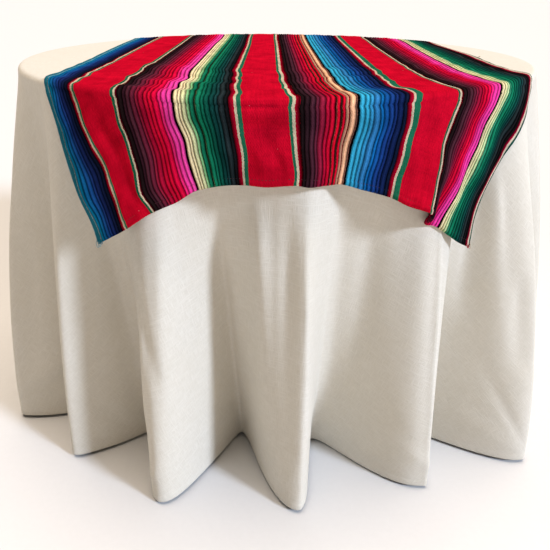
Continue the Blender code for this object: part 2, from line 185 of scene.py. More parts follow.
# Creases in the skirt: ridges and troughs that run down between and along the big folds. A bell is 2
# where it is soft and 1 where the cloth keeps a pressed edge. Each widens on its way down.
CREASE_FADE = 0.25
CREASE_WIDTH_AT_TOP = 0.7
CREASE_WIDENING = 0.6
CREASES = (
    # angle_at_top, angle_at_foot, top_height, foot_height, half_width_degrees, depth, bell
    (-61.0, -61.0, 0.66, -0.30, 0.8, 0.005, 2),
    (-58.5, -59.5, 0.46, 0.10, 1.2, -0.009, 2),
    (-54.5, -54.0, 0.62, -0.25, 1.2, 0.004, 2),
    (-42.5, -43.5, 0.64, -0.25, 1.4, 0.008, 2),
    (-37.0, -37.5, 0.62, -0.25, 1.2, -0.010, 2),
    (-32.0, -31.5, 0.60, -0.25, 0.8, 0.003, 1.4),
    (-25.0, -20.0, 0.50, 0.24, 1.4, -0.005, 2),
    (-23.5, -24.5, 0.44, 0.14, 0.8, 0.004, 2),
    (-19.0, -18.5, 0.64, -0.25, 1.8, 0.012, 2),
    (-11.0, -12.0, 0.62, -0.25, 1.8, -0.011, 2),
    (-6.5, -7.5, 0.66, 0.10, 4.0, 0.005, 2),
    (-3.0, -2.5, 0.64, 0.10, 2.0, 0.012, 2),
    (2.0, 3.0, 0.64, 0.00, 2.0, -0.011, 2),
    (4.5, 7.5, 0.64, -0.25, 0.4, 0.004, 1),
    (10.0, 12.0, 0.64, 0.04, 2.2, 0.008, 2),
    (18.0, 20.5, 0.63, 0.00, 2.8, -0.009, 2),
    (26.0, 28.0, 0.63, -0.10, 3.0, 0.009, 2),
    (29.0, 31.0, 0.62, -0.25, 0.8, 0.008, 1.2),
    (35.0, 34.5, 0.56, 0.02, 0.9, 0.004, 1.5),
    (42.0, 43.5, 0.66, 0.30, 1.3, -0.009, 2),
    (44.0, 46.0, 0.64, 0.20, 1.2, 0.010, 2),
    (48.0, 48.5, 0.44, 0.20, 1.2, -0.008, 2),
    (50.5, 50.0, 0.66, -0.20, 0.7, 0.004, 1.4),
    (58.0, 59.5, 0.68, -0.20, 1.8, 0.006, 2),
    (66.0, 67.0, 0.70, -0.25, 2.0, -0.0048, 2),
    (70.6, 71.4, 0.70, -0.25, 0.9, 0.0038, 1.3),
    (78.0, 79.4, 0.68, 0.05, 2.0, 0.0048, 2),
    (90.2, 91.6, 0.70, -0.25, 1.8, -0.0050, 2),
    (95.4, 95.0, 0.72, -0.25, 0.8, 0.0040, 1.2),
    (101.6, 100.2, 0.66, -0.20, 1.8, 0.0048, 2),
    (113.4, 112.0, 0.70, -0.25, 1.7, -0.0046, 2),
    (119.0, 118.4, 0.64, 0.14, 0.9, 0.0038, 1.5),
    (124.0, 125.6, 0.60, -0.20, 1.9, 0.0046, 2),
    (136.6, 137.8, 0.70, -0.25, 1.6, -0.0050, 2),
    (146.0, 145.0, 0.68, 0.06, 1.8, -0.0048, 2),
    (158.0, 160.2, 0.64, -0.20, 1.7, 0.0046, 2),
    (165.6, 165.0, 0.62, -0.25, 0.8, 0.0034, 1.2),
    (171.4, 170.0, 0.62, -0.20, 1.9, -0.0042, 2),
    (-177.2, -176.0, 0.62, 0.04, 1.8, 0.0046, 2),
    (-169.6, -170.4, 0.62, -0.25, 0.9, 0.0036, 1.3),
    (-155.4, -154.0, 0.62, 0.04, 1.7, -0.0048, 2),
    (-148.4, -149.2, 0.66, -0.25, 0.8, 0.0038, 1.3),
    (-135.2, -134.0, 0.70, -0.20, 1.9, 0.0046, 2),
    (-123.2, -124.6, 0.70, -0.25, 1.9, -0.0048, 2),
    (-110.2, -111.8, 0.68, 0.08, 1.6, 0.0044, 2),
    (-104.8, -105.4, 0.72, -0.25, 0.8, 0.0040, 1.2),
    (-100.0, -101.4, 0.64, -0.20, 1.8, -0.0050, 2),
    (-88.6, -88.0, 0.70, 0.05, 1.7, -0.0046, 2),
    (-82.4, -83.0, 0.70, -0.25, 0.8, 0.0038, 1.3),
    (-78.0, -79.6, 0.66, -0.20, 1.8, 0.0050, 2),
    (-68.0, -67.2, 0.64, -0.20, 1.5, 0.0044, 2),
)
# Slack that lies across the folds low down, where the cloth buckles and drags.
BUCKLES = (
    # angle, height, half_width_degrees, half_height, depth, tilt_metres_per_degree
    (-57.6, 0.130, 2.1, 0.015, 0.0085, 0.0130),
    (-57.2, 0.098, 2.0, 0.018, -0.0070, 0.0120),
    (-39.4, 0.072, 1.7, 0.024, -0.0070, -0.0360),
    (-38.6, 0.030, 2.2, 0.022, 0.0040, -0.0100),
    (-22.6, 0.070, 2.2, 0.018, 0.0034, 0.0100),
    (3.6, 0.052, 1.6, 0.016, -0.0030, 0.0100),
    (24.0, 0.150, 3.2, 0.022, -0.0034, -0.0090),
    (28.8, 0.074, 2.4, 0.018, 0.0036, -0.0080),
    (47.2, 0.136, 1.7, 0.018, -0.0080, -0.0400),
    (45.6, 0.070, 2.4, 0.022, 0.0050, -0.0120),
    (70.4, 0.110, 3.4, 0.018, 0.0070, -0.0110),
    (71.6, 0.078, 3.2, 0.016, -0.0050, -0.0100),
    (94.2, 0.150, 3.0, 0.018, -0.0064, 0.0160),
    (119.0, 0.090, 3.2, 0.017, 0.0060, 0.0110),
    (139.4, 0.130, 3.0, 0.018, -0.0064, -0.0140),
    (163.0, 0.084, 3.0, 0.017, 0.0058, -0.0100),
    (-171.6, 0.120, 3.2, 0.017, -0.0056, 0.0120),
    (-149.0, 0.090, 3.0, 0.018, 0.0060, 0.0110),
    (-128.0, 0.124, 3.2, 0.018, -0.0064, -0.0130),
    (-106.0, 0.080, 3.0, 0.016, 0.0058, 0.0100),
    (-84.6, 0.118, 3.0, 0.018, -0.0064, 0.0120),
)


def smooth_through(at, keys, values):
    """Cubic through rows of key and value, level at each high and low row, with no overshoot.
    values holds for each key a number, or an array with the shape of at."""
    keys, values = np.asarray(keys, float), np.asarray(values, float)
    step = np.diff(keys)
    rise = np.diff(values, axis=0) / step.reshape((-1,) + (1,) * (values.ndim - 1))
    agree = rise[:-1] * rise[1:] > 0
    total = np.where(agree, rise[:-1] + rise[1:], 1.0)
    slope = np.concatenate((rise[:1], np.where(agree, 2 * rise[:-1] * rise[1:] / total, 0.0), rise[-1:]))
    i = np.clip(np.searchsorted(keys, at) - 1, 0, len(step) - 1)
    before, after, slope_before, slope_after = [
        table[k] if values.ndim == 1 else np.take_along_axis(table, k[None], axis=0)[0]
        for table, k in ((values, i), (values, i + 1), (slope, i), (slope, i + 1))]
    t = (at - keys[i]) / step[i]
    return ((2 * t**3 - 3 * t**2 + 1) * before + (t**3 - 2 * t**2 + t) * step[i] * slope_before
            + (3 * t**2 - 2 * t**3) * after + (t**3 - t**2) * step[i] * slope_after)


def round_the_table(angle, rows):
    """The same cubic through rows of angle and value, closed round the table."""
    keys = [rows[-1][0] - 360.0] + [row[0] for row in rows] + [rows[0][0] + 360.0]
    values = [rows[-1][1]] + [row[1] for row in rows] + [rows[0][1]]
    return smooth_through((angle + 180.0) % 360.0 - 180.0, keys, values)


def cloth_radius(angle, height):
    """Radius of the skirt: the rim's radius, plus each fold's reach at the floor times 1 less
    (1 less the share of the drop) to the power of its growth. Hollows begin under the table top."""
    edge = [pair for row in FOLDS for pair in ((row[0], row[1]), (row[2], row[3]))]
    fold = round_the_table(angle, edge) - CLOTH_RADIUS
    growth = round_the_table(angle, [(row[0], row[4]) for row in FOLDS])
    rim_height = CLOTH_TOP - CLOTH_BEND
    crest_share = np.clip((rim_height - height) / (rim_height - CLOTH_HEM_HEIGHT), 0.0, 1.0)
    hollow_share = np.clip((TOP_BOTTOM - height) / (TOP_BOTTOM - CLOTH_HEM_HEIGHT), 0.0, 1.0)
    left = np.where(fold > 0, (1 - crest_share) ** growth, (1 - hollow_share) ** HOLLOW_GROWTH)
    return CLOTH_RADIUS + fold * (1 - left)


def turned_by(angle, centre):
    """Signed angle from a centre, the short way round."""
    return (angle - centre + 180.0) % 360.0 - 180.0


def eased(share):
    """0 below 0 and 1 above 1, and between them 3 share squared less 2 share cubed."""
    share = np.clip(share, 0.0, 1.0)
    return share**2 * (3 - 2 * share)


def crease_depth(angle, height):
    """Sum of bells across each crease's slanting line, eased in under its top and out over its foot,
    and of bells round each buckle. A bell is e to the minus (distance over half width) to its power."""
    total = np.zeros(np.broadcast(angle, height).shape)
    for top_angle, foot_angle, top, foot, half_width, depth, bell in CREASES:
        down = (top - height) / (top - foot)
        fade = eased(down / CREASE_FADE) * (1 - eased((down - (1 - CREASE_FADE)) / CREASE_FADE))
        line = top_angle + (foot_angle - top_angle) * np.clip(down, 0.0, 1.0)
        width = half_width * (CREASE_WIDTH_AT_TOP + CREASE_WIDENING * np.clip(down, 0.0, 1.0))
        total = total + depth * fade * np.exp(-(np.abs(turned_by(angle, line) / width) ** bell))
    for centre, level, half_width, half_height, depth, tilt in BUCKLES:
        aside = turned_by(angle, centre)
        over = (height - level - tilt * aside) / half_height
        total = total + depth * np.exp(-((aside / half_width) ** 2) - over**2)
    return total


def grid_faces(rows, columns, closed=False):
    """Quads between the points of a grid, row by row; closed joins the last column to the first."""
    index = np.arange(rows * columns).reshape(rows, columns)
    after = np.roll(index, -1, axis=1)
    quads = np.stack([index[:-1], index[1:], after[1:], after[:-1]], axis=-1)
    return (quads if closed else quads[:, :-1]).reshape(-1, 4)


# Columns of points stand 0.4 degrees apart over the front and twice as far apart behind. The rows lie
# close together at the rim's bend and at the hem's seam.
FRONT_ANGLE = 66
angles = np.concatenate([np.linspace(-180, -FRONT_ANGLE, 143, endpoint=False),
                         np.linspace(-FRONT_ANGLE, FRONT_ANGLE, 330, endpoint=False),
                         np.linspace(FRONT_ANGLE, 180, 143, endpoint=False)])
CLOTH_AROUND = len(angles)
HALF_WAY_DOWN = 0.40
above_seam = CLOTH_HEM_HEIGHT + CLOTH_HEM_WIDTH + 0.004
seam_rows = CLOTH_HEM_HEIGHT + np.array([0.0172, SEAM_UP, 0.0132, 0.009, 0.005, 0.002, 0.0])
skirt = np.concatenate([np.linspace(TOP_BOTTOM, HALF_WAY_DOWN, 20),
                        np.linspace(HALF_WAY_DOWN, above_seam, 30)[1:], seam_rows])
bends = np.radians(np.linspace(0, 90, 7))
flat_rings = np.array([0.06, 0.14, 0.22, 0.30, 0.38, 0.44, 0.48, 0.505])
ring_radius = np.concatenate([flat_rings, CLOTH_RADIUS - CLOTH_BEND + CLOTH_BEND * np.sin(bends)])
ring_height = np.concatenate([np.full(len(flat_rings), CLOTH_TOP),
                              CLOTH_TOP - CLOTH_BEND * (1 - np.cos(bends))])
heights = np.concatenate([ring_height, skirt])[:, None]
radii = np.concatenate([np.broadcast_to(ring_radius[:, None], (len(ring_radius), CLOTH_AROUND)),
                        cloth_radius(angles, skirt[:, None]) + crease_depth(angles, skirt[:, None])])
hem_up = heights - CLOTH_HEM_HEIGHT
hem_puff = (np.where(hem_up < 0.0170, HEM_PUFF, 0.0)
            - SEAM_DEPTH * np.exp(-(((hem_up - SEAM_UP) / SEAM_HALF_WIDTH) ** 2)))
radii = radii + np.where(heights < 0.1, hem_puff, 0.0)
turn = np.radians(angles)
hem_wave = HEM_LIFT * np.sin(turn * 11 + 1.0) * np.sin(turn * 4 + 0.4)
lift = (HEM_LIFT + hem_wave) * np.clip(1 - hem_up / HEM_LIFT_FADE, 0.0, 1.0)

# x is the radius times the sine of the angle, and y is minus the radius times its cosine.
points = np.stack([radii * np.sin(turn), -radii * np.cos(turn), heights + lift], axis=-1)
# The map named threads lays the cloth flat again: the turn is the share of the way round along a row,
# and the distance from the middle is the way down a column.
around = np.linalg.norm(np.roll(points, -1, axis=1) - points, axis=-1)
share = (np.cumsum(around, axis=1) - around) / around.sum(axis=1, keepdims=True)
thread_turn = 2 * np.pi * (share - share[:, np.searchsorted(angles, 0.0)][:, None])
down_length = np.linalg.norm(np.diff(points, axis=0), axis=-1)
out = ring_radius[0] + np.concatenate([np.zeros((1, CLOTH_AROUND)), np.cumsum(down_length, axis=0)])
threads = np.stack([out * np.sin(thread_turn), -out * np.cos(thread_turn)], axis=-1)

# One point in the middle closes the innermost ring with a quad to every second column.
quads = grid_faces(len(heights), CLOTH_AROUND, closed=True)
first_ring = np.arange(CLOTH_AROUND)
middle_point = np.full(CLOTH_AROUND // 2, len(heights) * CLOTH_AROUND)
cap = np.stack([middle_point, first_ring[0::2], first_ring[1::2], np.roll(first_ring[0::2], -1)], axis=-1)

# The cloth is a polyester linen: dull, cream, with thin slubs both ways that catch the light. Real
# threads lie 0.8 mm apart and are drawn 2.3 mm apart, since finer ones would not show, and a slub is
# about 23 mm long.
linen, tree, shader = new_finish("cream slub linen", 0.9)
shader.inputs["Specular IOR Level"].default_value = 0.2
shader.inputs["Sheen Weight"].default_value = 0.06
shader.inputs["Sheen Roughness"].default_value = 0.5
weave = add(tree, "UVMap", uv_map="threads")
slubs = []
for stretch, seed in (((430.0, 46.0, 1.0), 0.0), ((42.0, 430.0, 1.0), 7.3),
                      ((820.0, 110.0, 1.0), 3.1), ((104.0, 820.0, 1.0), 5.9)):
    lay = add(tree, "Mapping", {"Vector": weave.outputs[0], "Scale": stretch, "Location": (seed,) * 3})
    slubs.append(add(tree, "TexNoise", {"Vector": lay.outputs[0], "Scale": 1.0, "Detail": 1.5}))
thick, fine = [add(tree, "Math", {0: slubs[k].outputs["Fac"], 1: slubs[k + 1].outputs["Fac"]},
                   operation="MAXIMUM") for k in (0, 2)]
both = add(tree, "Math", {0: fine.outputs[0], 1: 0.5, 2: thick.outputs[0]}, operation="MULTIPLY_ADD")
level = add(tree, "MapRange", {"Value": both.outputs[0], 1: 0.66, 2: 1.02, 3: 0.0, 4: 1.0})
patches = add(tree, "TexNoise", {"Vector": weave.outputs[0], "Scale": 5.0, "Detail": 3.0})
cream = add(tree, "Mix", {"Factor": level.outputs[0], 6: tone("#d0c9bb"), 7: tone("#dbd5c9")},
            data_type="RGBA")
warm = add(tree, "MapRange", {"Value": patches.outputs["Fac"], 1: 0.3, 2: 0.7, 3: 0.0, 4: 0.3})
aged = add(tree, "Mix", {"Factor": warm.outputs[0], 6: cream.outputs[2], 7: tone("#cfc7b6")},
           data_type="RGBA")
bump = add(tree, "Bump", {"Height": level.outputs[0], "Strength": 0.5, "Distance": 0.0005})
tree.links.new(aged.outputs[2], shader.inputs["Base Color"])
tree.links.new(bump.outputs[0], shader.inputs["Normal"])


def lay_threads(piece, values):
    """Puts flat-cut places, one for each point, on the piece's faces as the map named threads."""
    mesh = piece.data
    corner_points = np.empty(len(mesh.loops), np.int32)
    mesh.loops.foreach_get("vertex_index", corner_points)
    layer = mesh.uv_layers.new(name="threads")
    layer.data.foreach_set("uv", np.asarray(values, np.float32)[corner_points].ravel())


def give_wall(piece, thickness, offset=-1.0):
    """Thickens an open cloth surface; -1 keeps the surface as the outer face."""
    wall = piece.modifiers.new("wall", "SOLIDIFY")
    wall.thickness = thickness
    wall.offset = offset
    wall.use_even_offset = False


cloth = new_piece("tablecloth_linen", np.concatenate([points.reshape(-1, 3), [[0, 0, CLOTH_TOP]]]),
                  np.concatenate([quads, cap]), linen)
lay_threads(cloth, np.concatenate([threads.reshape(-1, 2), [[0, 0]]]))
give_wall(cloth, CLOTH_WALL)
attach(cloth, "root")
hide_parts("tablecloth")

# The serape panel
# One length of wool and cotton woven on a broad loom, 0.83 m wide and 1.30 m long. Its coloured
# threads run from end to end: flat red bands with fine lines beside them, and between them graded
# bands whose threads are beaten up into round cords. It lies over the cloth and hangs at both ends.
SERAPE_LEFT = -0.384
SERAPE_RIGHT = 0.442
SERAPE_THICKNESS = 0.0025
SERAPE_WALL = 0.0019
SERAPE_GAP = 0.0008
SERAPE_BEND = CLOTH_BEND + SERAPE_GAP
SERAPE_RADIUS = CLOTH_RADIUS + SERAPE_GAP
BEND_START = SERAPE_RADIUS - SERAPE_BEND
HANG_CLEARANCE = 0.0048
CLEARANCE_EASE = 0.0040
EASE_SHARE = 0.10
CORD_HEIGHT = 0.0014
FLAT_LEVEL = 0.72
WIDTH_MM = 826.0
FRONT_END = (
    # across, swing_degrees, stand_off, reach
    (-0.384, 1.5, 0.050, 0.658),
    (-0.313, 2.4, 0.052, 0.657),
    (-0.241, 1.7, 0.042, 0.652),
    (-0.197, 1.6, 0.034, 0.649),
    (-0.154, 1.6, 0.018, 0.639),
    (-0.110, 1.4, 0.013, 0.640),
    (-0.068, 1.2, 0.014, 0.643),
    (-0.030, 1.5, 0.021, 0.647),
    (0.008, 2.2, 0.022, 0.645),
    (0.032, 2.0, 0.025, 0.647),
    (0.060, 2.0, 0.019, 0.644),
    (0.092, 2.1, 0.009, 0.641),
    (0.130, 2.4, 0.012, 0.645),
    (0.175, 2.4, 0.022, 0.646),
    (0.215, 2.1, 0.040, 0.651),
    (0.255, 1.7, 0.052, 0.650),
    (0.285, 1.0, 0.042, 0.653),
    (0.315, 0.3, 0.016, 0.656),
    (0.344, 0.4, 0.014, 0.650),
    (0.395, 0.6, 0.030, 0.653),
    (0.442, 0.0, 0.038, 0.643),
)
BACK_END = (
    # across, swing_degrees, stand_off, reach
    (-0.384, -0.6, 0.040, 0.652),
    (-0.330, -1.2, 0.046, 0.650),
    (-0.270, -1.6, 0.026, 0.649),
    (-0.215, -1.0, 0.012, 0.647),
    (-0.150, -0.4, 0.022, 0.646),
    (-0.100, -0.2, 0.030, 0.648),
    (-0.045, 0.0, 0.012, 0.646),
    (0.020, 0.2, 0.008, 0.645),
    (0.080, 0.5, 0.020, 0.647),
    (0.130, 0.9, 0.034, 0.650),
    (0.190, 1.3, 0.018, 0.648),
    (0.250, 1.0, 0.013, 0.649),
    (0.310, 0.8, 0.036, 0.652),
    (0.380, 0.4, 0.048, 0.655),
    (0.442, 0.0, 0.042, 0.654),
)
# Sideways drift of the threads from straight lines, where the cloth was pulled as it was laid: one row
# for each station across, with its drift to +X at ten places along it. A place is a share of the way
# from the middle to the rim, and past 1 it is 1 and the share of the hanging length below the bend.
DRIFT_PLACES = (-0.7, 0.0, 0.5, 0.87, 1.0, 1.2, 1.4, 1.6, 1.8, 2.0)
RIM_DRIFT = 5
DRIFT = (
    # across, far_side, middle, near_side, before_rim, rim, then each fifth of the hang to the end
    (-0.3840, -0.009, -0.001, 0.004, 0.004, 0.004, -0.008, -0.020, -0.021, -0.010, -0.003),
    (-0.3120, -0.018, -0.012, -0.010, -0.009, -0.007, -0.014, -0.009, -0.001, -0.002, 0.000),
    (-0.2400, -0.008, 0.002, -0.003, -0.002, -0.001, -0.006, -0.009, -0.012, -0.014, -0.001),
    (-0.1535, -0.004, -0.001, 0.001, 0.004, 0.004, 0.000, -0.001, -0.004, -0.004, 0.000),
    (-0.0665, -0.013, -0.006, -0.005, 0.005, 0.006, 0.005, 0.004, 0.002, 0.001, 0.000),
    (0.0110, -0.016, -0.012, -0.006, 0.003, 0.009, 0.008, 0.006, 0.005, 0.003, 0.000),
    (0.0955, -0.016, -0.014, -0.006, 0.003, 0.017, 0.015, 0.012, 0.008, 0.003, -0.002),
    (0.1770, -0.006, -0.008, -0.004, 0.002, 0.020, 0.020, 0.018, 0.015, 0.009, 0.001),
    (0.2565, -0.012, -0.016, -0.014, 0.001, 0.016, 0.013, 0.010, 0.009, 0.006, 0.001),
    (0.3470, -0.008, -0.018, -0.019, -0.003, 0.008, 0.011, 0.017, 0.015, 0.000, -0.008),
    (0.4420, -0.025, -0.007, -0.011, -0.002, 0.010, 0.006, 0.008, -0.008, -0.018, -0.004),
)
# Low ridges across the threads, behind the rim. Their ends run out over 60 mm.
RIDGE_ENDS = 0.06
RIDGES = (
    # behind_rim, half_width, height, left_end, right_end
    (0.020, 0.010, 0.0013, -0.330, -0.030),
    (0.085, 0.016, 0.0014, -0.310, 0.010),
    (0.052, 0.010, 0.0010, -0.200, 0.080),
    (0.030, 0.012, 0.0012, 0.060, 0.230),
    (0.150, 0.020, 0.0011, -0.120, 0.200),
    (0.004, 0.016, 0.0023, -0.430, -0.320),
)
# Short kinks of the threads to the side, where the cloth was pushed together just behind the rim. Their
# ends run out over 50 mm.
KINK_ENDS = 0.05
KINKS = (
    # behind_rim, half_width, sideways, left_end, right_end
    (0.018, 0.016, -0.0018, -0.270, -0.110),
    (0.050, 0.018, 0.0026, -0.290, -0.110),
    (0.090, 0.022, -0.0032, -0.300, -0.100),
    (0.138, 0.026, 0.0034, -0.310, -0.110),
    (0.196, 0.030, -0.0030, -0.320, -0.110),
    (0.040, 0.018, 0.0016, -0.130, 0.010),
    (0.088, 0.022, -0.0016, -0.130, 0.020),
    (0.020, 0.016, 0.0010, 0.080, 0.240),
    (0.060, 0.018, -0.0010, 0.060, 0.240),
    (0.260, 0.034, -0.0018, -0.330, 0.100),
)
# Soft hollows and swells in the hanging ends, in the cloth's own places. A share is one of the hang.
WRINKLE_START = 0.08
WRINKLES = (
    # end, across, share, half_across, half_share, height, lean_across_for_each_share
    (1, -0.366, 0.70, 0.013, 0.130, 0.0050, 0.000),
    (1, -0.356, 0.16, 0.014, 0.120, 0.0040, 0.000),
    (1, -0.275, 0.42, 0.017, 0.260, -0.0040, 0.030),
    (1, -0.243, 0.72, 0.010, 0.250, 0.0028, 0.020),
    (1, -0.205, 0.34, 0.012, 0.280, -0.0026, 0.020),
    (1, -0.160, 0.62, 0.014, 0.220, 0.0026, 0.030),
    (1, -0.122, 0.30, 0.012, 0.250, -0.0026, 0.010),
    (1, -0.086, 0.62, 0.010, 0.280, 0.0024, 0.010),
    (1, -0.028, 0.07, 0.040, 0.060, 0.0030, 0.000),
    (1, -0.026, 0.26, 0.036, 0.080, -0.0036, 0.000),
    (1, -0.040, 0.62, 0.007, 0.220, 0.0024, 0.040),
    (1, -0.018, 0.60, 0.007, 0.220, -0.0026, 0.040),
    (1, -0.002, 0.78, 0.006, 0.180, 0.0022, 0.020),
    (1, 0.045, 0.34, 0.012, 0.220, -0.0022, 0.000),
    (1, 0.072, 0.66, 0.010, 0.240, 0.0022, 0.000),
    (1, 0.124, 0.46, 0.010, 0.300, 0.0024, -0.010),
    (1, 0.150, 0.50, 0.010, 0.300, -0.0026, -0.010),
    (1, 0.215, 0.36, 0.014, 0.200, -0.0028, 0.010),
    (1, 0.236, 0.60, 0.010, 0.260, 0.0028, -0.010),
    (1, 0.372, 0.46, 0.008, 0.200, 0.0036, -0.020),
    (1, 0.404, 0.30, 0.012, 0.200, -0.0030, 0.000),
    (-1, -0.352, 0.40, 0.014, 0.240, -0.0036, 0.020),
    (-1, -0.296, 0.66, 0.012, 0.220, 0.0032, -0.020),
    (-1, -0.232, 0.32, 0.014, 0.220, -0.0028, 0.020),
    (-1, -0.170, 0.58, 0.011, 0.240, 0.0028, 0.020),
    (-1, -0.118, 0.36, 0.013, 0.240, -0.0026, -0.010),
    (-1, -0.060, 0.66, 0.010, 0.220, 0.0026, 0.030),
    (-1, -0.010, 0.22, 0.034, 0.080, -0.0030, 0.000),
    (-1, 0.040, 0.56, 0.009, 0.240, 0.0024, -0.030),
    (-1, 0.096, 0.40, 0.012, 0.240, -0.0028, 0.010),
    (-1, 0.158, 0.64, 0.010, 0.240, 0.0026, 0.000),
    (-1, 0.214, 0.34, 0.013, 0.220, -0.0028, 0.020),
    (-1, 0.276, 0.58, 0.011, 0.220, 0.0030, -0.020),
    (-1, 0.344, 0.36, 0.014, 0.240, -0.0034, 0.010),
    (-1, 0.406, 0.66, 0.011, 0.200, 0.0034, 0.000),
)
# The bands from the left selvedge to the right one. A graded band has one colour for each cord, and
# a flat one has a single colour.
BANDS = (
    # left_mm, right_mm, corded, colours from left to right
    (0.0, 2.2, False, ("#99b4b8",)),
    (2.2, 11.5, False, ("#266d7f",)),
    (11.5, 13.8, False, ("#86acb5",)),
    (13.8, 64.0, True, ("#0a5f80", "#10507f", "#153f76", "#172d60", "#14204a", "#111834", "#0c1120")),
    (64.0, 70.0, False, ("#aa0927",)),
    (70.0, 73.8, False, ("#c7b69a",)),
    (73.8, 78.0, False, ("#1f674a",)),
    (78.0, 139.5, False, ("#c50a27",)),
    (139.5, 143.5, False, ("#1c5e42",)),
    (143.5, 147.0, False, ("#c7b69a",)),
    (147.0, 149.5, False, ("#681022",)),
    (149.5, 229.6, True, ("#180f10", "#271219", "#3e1d26", "#541929", "#701529", "#8a0c28", "#9f0926",
                          "#ae0927", "#ba0932", "#c61f5d", "#cc3281", "#ce3d8a")),
    (229.6, 232.5, False, ("#0c0b0b",)),
    (232.5, 254.0, True, ("#cdbb92", "#c9b98e", "#b3b487", "#6c9a68")),
    (254.0, 261.0, True, ("#105e43",)),
    (261.0, 263.0, False, ("#9ab580",)),
    (263.0, 309.0, True, ("#106347", "#0d533f", "#0b4336", "#0c332f", "#153232", "#1d2527", "#111012")),
    (309.0, 315.8, False, ("#aa0927",)),
    (315.8, 319.8, False, ("#c9b89d",)),
    (319.8, 325.5, False, ("#22674a",)),
    (325.5, 388.5, False, ("#c50a27",)),
    (388.5, 393.2, False, ("#22674a",)),
    (393.2, 397.2, False, ("#c9b89d",)),
    (397.2, 403.5, False, ("#aa0927",)),
    (403.5, 449.0, True, ("#170f10", "#241419", "#3a1c26", "#4d1a29", "#71152b", "#8e0b27", "#a20924")),
    (449.0, 450.8, False, ("#c56057",)),
    (450.8, 456.0, True, ("#ae0921",)),
    (456.0, 458.6, False, ("#cb8972",)),
    (458.6, 462.6, True, ("#b10922",)),
    (462.6, 466.2, False, ("#cb9376",)),
    (466.2, 468.4, False, ("#b11927",)),
    (468.4, 477.0, True, ("#cc9976",)),
    (477.0, 478.4, False, ("#8e5a4a",)),
    (478.4, 482.0, False, ("#0d0e12",)),
    (482.0, 553.0, True, ("#2c8baa", "#2a87a8", "#2876a0", "#276595", "#0e5289", "#11427b", "#14326a",
                          "#132657", "#101c40", "#0d1427")),
    (553.0, 559.2, False, ("#aa0927",)),
    (559.2, 563.4, False, ("#c9b89d",)),
    (563.4, 573.0, False, ("#1e674a",)),
    (573.0, 636.0, False, ("#c50a27",)),
    (636.0, 639.4, False, ("#245a41",)),
    (639.4, 643.2, False, ("#c9b89d",)),
    (643.2, 647.0, False, ("#950924",)),
    (647.0, 729.5, True, ("#180f10", "#271219", "#3c1e26", "#4d1a28", "#66162a", "#81102a", "#990927",
                          "#ac0928", "#b80935", "#c51f66", "#cc3283", "#ce398a")),
    (729.5, 733.0, False, ("#0f0d0d",)),
    (733.0, 750.6, True, ("#c2b48a", "#b9b686", "#a4b987")),
    (750.6, 811.0, True, ("#266f52", "#106347", "#0c543f", "#0b4637", "#0c3630", "#142e2e", "#1e2627",
                          "#131214", "#0f0d0d")),
    (811.0, 815.5, False, ("#a30931",)),
    (815.5, 820.0, False, ("#cab9a3",)),
    (820.0, 826.0, False, ("#194a3f",)),
)


def row_value(at, rows, column):
    """Cubic through one column of a table's rows, whose first column is the place across."""
    return smooth_through(at, [row[0] for row in rows], [row[column] for row in rows])


def wander(across, along):
    """Sideways drift of the threads in metres: slow sine waves along them that change across, and that
    shrink to 0.15 of their size over the last 20 mm before a selvedge."""
    waves = (0.0011 * np.sin(along * 27.0 + across * 9.0)
             + 0.0009 * np.sin(along * 61.0 - across * 14.0 + 1.1)
             + 0.0006 * np.sin(along * 118.0 + across * 31.0 + 2.0))
    return waves * np.clip(np.minimum(across - SERAPE_LEFT, SERAPE_RIGHT - across) / 0.02, 0.15, 1.0)


def ridge_height(across, behind_rim):
    """Sum of bells across each ridge's line, e to the minus (distance over half width) squared, with
    eased ends."""
    rise = np.zeros_like(behind_rim)
    for centre, half_width, height, left, right in RIDGES:
        ends = eased(np.minimum(across - left, right - across) / RIDGE_ENDS)
        rise = rise + height * np.exp(-(((behind_rim - centre) / half_width) ** 2)) * ends
    return rise


def kink_aside(across, behind_rim):
    """The same sum for the kinks, as a move to the side."""
    aside = np.zeros_like(behind_rim)
    for centre, half_width, sideways, left, right in KINKS:
        ends = eased(np.minimum(across - left, right - across) / KINK_ENDS)
        aside = aside + sideways * np.exp(-(((behind_rim - centre) / half_width) ** 2)) * ends
    return aside


def wrinkle_height(across, share, front):
    """Sum of leaning bells round each wrinkle's place on its end, eased in below the rim."""
    rise = np.zeros_like(share)
    for end, centre, middle, half_across, half_share, height, lean in WRINKLES:
        aside = (across - centre - lean * (share - middle)) / half_across
        bell = np.exp(-(aside**2) - ((share - middle) / half_share) ** 2)
        rise = rise + height * bell * (front == (end > 0))
    return rise * eased(share / WRINKLE_START)


def rim_line(across, past, front):
    """Square root of the squared distance from the table's middle less the squared drifted place
    across: how far out each column lies at a length past the bend's start."""
    drifted = across + np.where(front, row_value(across, DRIFT, RIM_DRIFT), row_value(across, DRIFT, 1))
    return np.sqrt((BEND_START + past) ** 2 - drifted**2)


def drifted_across(across, along, reach):
    """The place across plus the drift there, read along the cloth by the share of the way to the
    rim, or past it by 1 and the share of the hang."""
    rim = rim_line(across, 0.0, along >= 0)
    at_rim = across + row_value(across, DRIFT, RIM_DRIFT)
    hang_start = BEND_START + SERAPE_BEND * math.pi / 2
    share = (np.hypot(at_rim, along) - hang_start) / (np.hypot(at_rim, reach) - hang_start)
    place = np.where(along > rim, 1 + np.clip(share, 0.0, 1.0), along / rim)
    place = np.clip(place, DRIFT_PLACES[0], DRIFT_PLACES[-1])
    drifts = np.stack([row_value(across, DRIFT, k + 1) for k in range(len(DRIFT_PLACES))])
    return across + smooth_through(place, DRIFT_PLACES, drifts)


